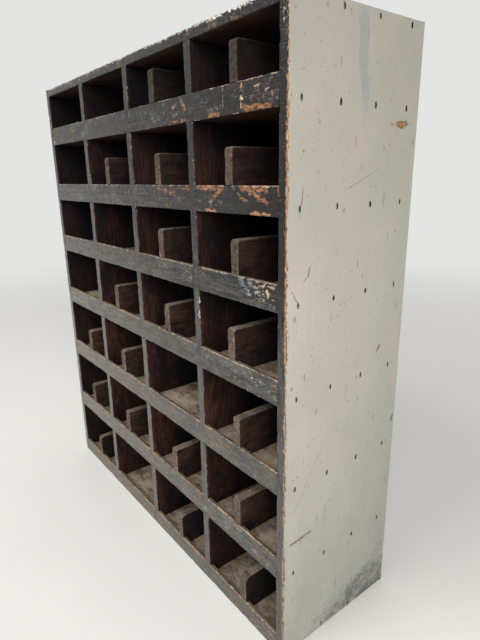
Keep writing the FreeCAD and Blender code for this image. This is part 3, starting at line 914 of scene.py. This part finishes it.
def punched(board_mesh, hand):
    """The side on hand, -1 for the left and 1 for the right, with a ragged hole over each nail."""
    hole_bottom = hand * (case_high.x - 2.1 * MM)
    places = [(hole_bottom, m.y, m.z) for m in nail_middles if m.x * hand > 0]
    values = {"Width": 3.8 * MM, "Height": 7.6 * MM, "Depth": 3.0 * MM, "Flare": 1.25,
              "Turn": (0.0, hand * math.pi / 2, 0.0), "Variation": 0.12, "Raggedness": 2.4 * MM,
              "Finish": materials["inside_z"]}
    cutter = bpy.data.objects.new("punches", grown(places, values))
    board = bpy.data.objects.new("board", board_mesh)
    for thing in (cutter, board):
        scene.collection.objects.link(thing)
    cut = board.modifiers.new("punch", "BOOLEAN")
    cut.operation = "DIFFERENCE"
    cut.solver = "EXACT"
    cut.object = cutter
    depsgraph = bpy.context.evaluated_depsgraph_get()
    mesh = bpy.data.meshes.new_from_object(board.evaluated_get(depsgraph))
    for thing in (cutter, board):
        bpy.data.objects.remove(thing)
    offset = [rng.uniform(0, 9) for axis in range(3)]
    mesh.attributes["board"].data.foreach_set("vector", offset * len(mesh.vertices))
    return mesh


# ---- pieces ------------------------------------------------------------------------------------
def side_finish(hand):
    """Finishes of the side on hand: grey outside, black in front and on its ends, stained inside."""
    outer_skin = case_high.x - 1 * MM
    outer_arris = case_high.x - 1.2 * MM
    front_skin = case_low.y + 0.4 * MM

    def choose(normal, centre):
        if centre.y < front_skin or normal.y < -0.75:
            return "black_z"
        if centre.x * hand > outer_arris and abs(normal.z) < 0.7:
            return "grey"
        if normal.x * hand > 0.3:
            return "grey" if centre.x * hand > outer_skin else "inside_side"
        if abs(normal.z) > 0.7 and not 1 * MM < centre.z < case_high.z - 1 * MM:
            return "black_z"
        return "inside_side"
    return choose


for label, hand in (("left", -1), ("right", 1)):
    node = f"side_board_{label}"
    outer = (1.2 * MM, 1.0)
    inner = (0.9 * MM, 0.45)
    wear = (outer, inner, None, None) if hand < 0 else (inner, outer, None, None)
    boards = Boards()
    boards.plank(*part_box(node), 2, wear, step=4 * MM, ends=0.9 * MM)
    finished(node, punched(boards.mesh(node), hand), side_finish(hand))


def front_and_rest(front, rest, top=None):
    """Finishes of a board that shows one finish in front, perhaps one on top, and one elsewhere."""
    def choose(normal, centre):
        if normal.y < -0.3:
            return front
        return top if top and normal.z > 0.5 else rest
    return choose


levels = ["top_board", "bottom_board"] + [f"shelf_{n}" for n in range(1, ROWS)]
for node in levels:
    boards = Boards()
    if node == "top_board":
        top = "black_x"
        boards.plank(*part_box(node), 0, ((1.0 * MM, 0.3), None, None, (2.2 * MM, 0.8)), fade=8 * MM)
    else:
        top = "floor"
        boards.plank(*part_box(node), 0, ((1.0 * MM, 0.55), None, None, (0.5 * MM, 0.2)))
    finished(node, boards.mesh(node), front_and_rest("black_x", "inside_x", top))


def set_back(box):
    """The box of a board that was fitted a little behind the front of the case."""
    low, high = (Vector(corner) for corner in box)
    low.y += rng.uniform(0.1, 0.8) * MM
    return low, high


for row in range(1, ROWS + 1):
    for number in range(1, COLUMNS):
        node = f"upright_row{row}_{number}"
        boards = Boards()
        boards.plank(*set_back(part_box(node)), 2, ((0.8 * MM, 0.5), (0.8 * MM, 0.5), None, None))
        finished(node, boards.mesh(node), front_and_rest("black_z", "inside_z"))
    node = f"front_lips_row{row}"
    wear = ((0.4 * MM, 0.2), None, (0.8 * MM, 0.5), (1.3 * MM, 0.64 + 0.07 * row))
    boards = Boards()
    for box in solids_of(node):
        boards.plank(*set_back(box), 0, wear, fade=3.4 * MM)
    finished(node, boards.mesh(node), front_and_rest("black_x", "low_x"))


# ---- low dividers ------------------------------------------------------------------------------
usual_corner = 5.5 * MM
bottom_corner = 12 * MM         # of the low dividers of the bottom row
notch_clearance = 0.4 * MM
front_steps = 8
corner_steps = 6
top_steps = 40
deepest_wear = 2.4 * MM
hidden_wear = 0.25 * MM         # of the edges that nothing rubs
worn_inset = 2.6 * MM           # from a rubbed edge to where the side is flat
hidden_inset = 1.5 * MM
deepest_dent = 0.8 * MM

# From a side's flat to its edge: how far in from the edge, None for the flat, and how far in from
# the side, both as shares of the wear, and how bare.
arris_profile = ((None, 0.0, 0.0), (1.0, 0.0, 0.5), (0.32, 0.32, 1.0), (0.0, 1.0, 0.68))


def low_divider_outline(low, high, notch_back, notch_top):
    """Points (y, z, worn) round a low divider seen from its side, from the front up and over."""
    corner = bottom_corner if low.z < 0.1 else usual_corner
    front_run = high.z - corner - notch_top
    top_run = high.y - low.y - corner
    points = [(low.y, notch_top + front_run * n / front_steps, True) for n in range(front_steps)]
    for n in range(corner_steps + 1):
        turn = math.pi / 2 * n / corner_steps
        points.append((low.y + corner * (1 - math.cos(turn)), high.z - corner * (1 - math.sin(turn)), True))
    for n in range(1, top_steps + 1):
        points.append((low.y + corner + top_run * n / top_steps, high.z, n < top_steps))
    points += [(high.y, low.z, False), (notch_back, low.z, False), (notch_back, notch_top, False)]
    return points


def low_divider(boards, low, high, notch_back, notch_top):
    """Adds a low divider, rubbed round and dented along its top and front."""
    outline = low_divider_outline(low, high, notch_back, notch_top)
    count = len(outline)
    inwards = []
    for n in range(count):
        before = Vector(outline[n][:2]) - Vector(outline[n - 1][:2])
        after = Vector(outline[(n + 1) % count][:2]) - Vector(outline[n][:2])
        turned = before.normalized() + after.normalized()
        inwards.append(Vector((turned.y, -turned.x)).normalized())
    seed = rng.uniform(0, 500)
    middle = (low.x + high.x) / 2
    half = (high.x - low.x) / 2
    slices = [(inset, aside, bare, -1) for inset, aside, bare in arris_profile]
    slices += [(0.0, 0.0, 0.6, 0)]          # the ridge down the middle of the edge
    slices += [(inset, aside, bare, 1) for inset, aside, bare in reversed(arris_profile)]
    rings = []
    for inset, aside, bare, hand in slices:
        ring = []
        for (y, z, worn), inward in zip(outline, inwards):
            at = y - z
            depth = worn_back(seed + 40 * hand, at, 1.0 * MM) if worn else hidden_wear
            depth = min(depth, deepest_wear)
            dent = max(0.0, noise.noise(Vector((at * 60, seed, 3))) - 0.05) if worn else 0.0
            step = deepest_dent * dent
            if inset is not None:
                step += inset * depth
            elif worn:
                step += worn_inset
            else:
                step = hidden_inset
            spot = Vector((y, z)) + inward * step
            ring.append((middle + hand * (half - aside * depth), *spot, bare if worn else 0.0))
        rings.append(ring)
    boards.skin(rings)


for node in sorted(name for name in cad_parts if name.startswith("low_divider")):
    row = node.split("_row")[1].split("_")[0]
    lip_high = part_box(f"front_lips_row{row}")[1]
    low, high = (Vector(corner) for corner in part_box(node))
    boards = Boards()
    low_divider(boards, low, high, lip_high[1] + notch_clearance, lip_high[2] + notch_clearance)
    finished(node, boards.mesh(node), lambda normal, centre: "low")


# ---- back --------------------------------------------------------------------------------------
tongue_length = 5 * MM
half_tongue = 1.5 * MM
tongue_clearance = 0.3 * MM
half_groove = half_tongue + tongue_clearance
back_bevel = 1.5 * MM
back_arris = 0.4 * MM           # at the two outer edges of the back
cupping = 0.7 * MM
saw_marks = 0.35 * MM
back_outside = case_high.y - 0.3 * MM
back_height_steps = 72
back_width_steps = 8


def back_board(boards, left, right, first, last):
    """Adds one upright board of the back, a little cupped, with its tongue, groove and bevels."""
    inner = carcass_back
    middle = (inner + case_high.y) / 2
    shoulder = right if last else right - tongue_clearance
    start = shoulder - (back_arris if last else back_bevel)
    end = left + (back_arris if first else back_bevel)
    groove = left + tongue_length + tongue_clearance
    seed = rng.uniform(0, 500)
    rings = []
    for n in range(back_height_steps + 1):
        z = case_low.z + (case_high.z - case_low.z) * n / back_height_steps
        ring = [(left, inner)]
        if last:
            ring += [(right, inner), (right, back_outside - back_arris)]
        else:
            ring += [(shoulder, inner), (shoulder, middle - half_tongue),
                     (right + tongue_length, middle - half_tongue),
                     (right + tongue_length, middle + half_tongue),
                     (shoulder, middle + half_tongue), (shoulder, back_outside - back_bevel)]
        for k in range(back_width_steps + 1):
            share = k / back_width_steps
            cup = cupping * (2 * share - 1) ** 2
            rough = saw_marks * abs(noise.noise(Vector((share * 3, z * 9, seed))))
            ring.append((start + (end - start) * share, back_outside - cup - rough))
        if first:
            ring.append((left, back_outside - back_arris - cupping))
        else:
            ring += [(left, back_outside - back_bevel - cupping), (left, middle + half_groove),
                     (groove, middle + half_groove), (groove, middle - half_groove),
                     (left, middle - half_groove)]
        rings.append([(x, y, z, 0.0) for x, y in ring])
    boards.skin(rings)


def back_finish(normal, centre):
    """Finishes of the back: grey on its two outer edges, stained inside, and bare wood outside."""
    if abs(centre.x) > case_high.x - 0.3 * MM and abs(normal.x) > 0.7:
        return "grey"
    return "inside_z" if normal.y < -0.5 or abs(normal.x) > 0.6 else "back"


boards = Boards()
solids = solids_of("back_boards")
edges = [low.x for low, high in solids] + [case_high.x]
for n in range(len(solids)):
    back_board(boards, edges[n], edges[n + 1], n == 0, n == len(solids) - 1)
finished("back_boards", boards.mesh("back_boards"), back_finish)

head_inset = 26 * MM            # of the back's nails, from each joint
head_height = 1.6 * MM
head_stray = 3 * MM
places = []
for left, right in zip(edges, edges[1:]):
    for level in nail_levels:
        for x in (left + head_inset, right - head_inset):
            x += rng.uniform(-1, 1) * head_stray
            places.append((x, case_high.y - head_height, level + rng.uniform(-1, 1) * head_stray))
heads = {"Width": 3.0 * MM, "Height": 6.2 * MM, "Depth": head_height, "Flare": 0.85,
         "Turn": (-math.pi / 2, math.pi / 2, 0.0), "Variation": 0.1, "Finish": materials["iron"]}
nail_heads = bpy.data.objects.new("back_nail_heads", grown(places, heads))
scene.collection.objects.link(nail_heads)
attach(nail_heads, "root")

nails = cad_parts["side_nails"]
nails.data.materials.clear()
nails.data.materials.append(materials["iron"])


# ---- floor, light and camera -------------------------------------------------------------------
BACKDROP = "#e4e4e2"


def plain_floor(name):
    """Matt painted floor: pale and even, faintly cloudy, passing into the backdrop far away."""
    material, t = new_material(name)
    place = add(t, "ShaderNodeTexCoord", out=3)
    cloud = speckle(t, place, (400, 400, 400))
    colour = coats(t, paint("#d6d5d1"), ("#dddcd8", cloud))
    matt = add(t, "ShaderNodeBsdfPrincipled", {"Base Color": colour, "Roughness": 0.6})
    away = add(t, "ShaderNodeVectorMath", {0: place}, out=1, operation="LENGTH")
    far = add(t, "ShaderNodeMapRange", {0: away, 1: 1.2, 2: 4.5}, interpolation_type="SMOOTHSTEP")
    haze = add(t, "ShaderNodeEmission", {"Color": paint(BACKDROP), "Strength": 1.0})
    shown = add(t, "ShaderNodeMixShader", {0: far, 1: matt, 2: haze})
    add(t, "ShaderNodeOutputMaterial", {"Surface": shown}, out=None)
    return material


sheet = bpy.data.meshes.new("floor")
floor_reach = 14.0
corners = [(x * floor_reach, y * floor_reach, 0) for x, y in ((-1, -1), (1, -1), (1, 1), (-1, 1))]
sheet.from_pydata(corners, [], [(0, 1, 2, 3)])
sheet.materials.append(plain_floor("pale_floor"))
floor = bpy.data.objects.new("floor", sheet)
scene.collection.objects.link(floor)

world = bpy.data.worlds.new("studio")
scene.world = world
world.use_nodes = True
t = world.node_tree
t.nodes.clear()
rays = add(t, "ShaderNodeLightPath", out=None)
seen = add(t, "ShaderNodeMath", {0: rays.outputs["Is Camera Ray"], 1: rays.outputs["Is Glossy Ray"]},
           operation="MAXIMUM")
seen = add(t, "ShaderNodeMath", {0: seen, 1: rays.outputs["Is Transmission Ray"]}, operation="MAXIMUM")
soft = add(t, "ShaderNodeBackground", {"Color": paint("#ffffff"), "Strength": 0.55})
backdrop = add(t, "ShaderNodeBackground", {"Color": paint(BACKDROP), "Strength": 1.0})
shown = add(t, "ShaderNodeMixShader", {0: seen, 1: soft, 2: backdrop})
add(t, "ShaderNodeOutputWorld", {"Surface": shown}, out=None)


def soft_light(name, where, target, width, power):
    """A large square softbox aimed at a point."""
    lamp = bpy.data.lights.new(name, "AREA")
    lamp.shape = "SQUARE"
    lamp.size = width
    lamp.energy = power
    holder = bpy.data.objects.new(name, lamp)
    holder.location = where
    aim = Vector(target) - Vector(where)
    holder.rotation_euler = aim.to_track_quat("-Z", "Y").to_euler()
    scene.collection.objects.link(holder)


soft_light("softbox_right", (2.8, -1.8, 2.1), target=(0.3, 0, 0.45), width=2.0, power=95)
soft_light("softbox_front", (-0.6, -2.6, 3.4), target=(0, 0, 0.4), width=2.4, power=98)

# The camera stands off the right front corner and looks a little down.
camera_place = (0.9693, -0.6178, 0.8428)
focal_pixels = 491.1            # focal length, in pixels of a render of the height below
render_height = 640
sensor = 36                     # mm
yaw, pitch, roll = (math.radians(angle) for angle in (52.251, -16.352, 0.949))
ahead = Vector((-math.sin(yaw) * math.cos(pitch), math.cos(yaw) * math.cos(pitch), math.sin(pitch)))
right = Vector((math.cos(yaw), math.sin(yaw), 0))
down = ahead.cross(right)
turned_right = math.cos(roll) * right + math.sin(roll) * down
turned_up = math.sin(roll) * right - math.cos(roll) * down
stand = Matrix((turned_right, turned_up, -ahead)).transposed().to_4x4()
stand.translation = Vector(camera_place)
lens = bpy.data.cameras.new("camera")
lens.sensor_width = sensor
lens.lens = focal_pixels / render_height * sensor
camera = bpy.data.objects.new("camera", lens)
camera.matrix_world = stand
scene.collection.objects.link(camera)
scene.camera = camera
scene.view_settings.view_transform = "Standard"
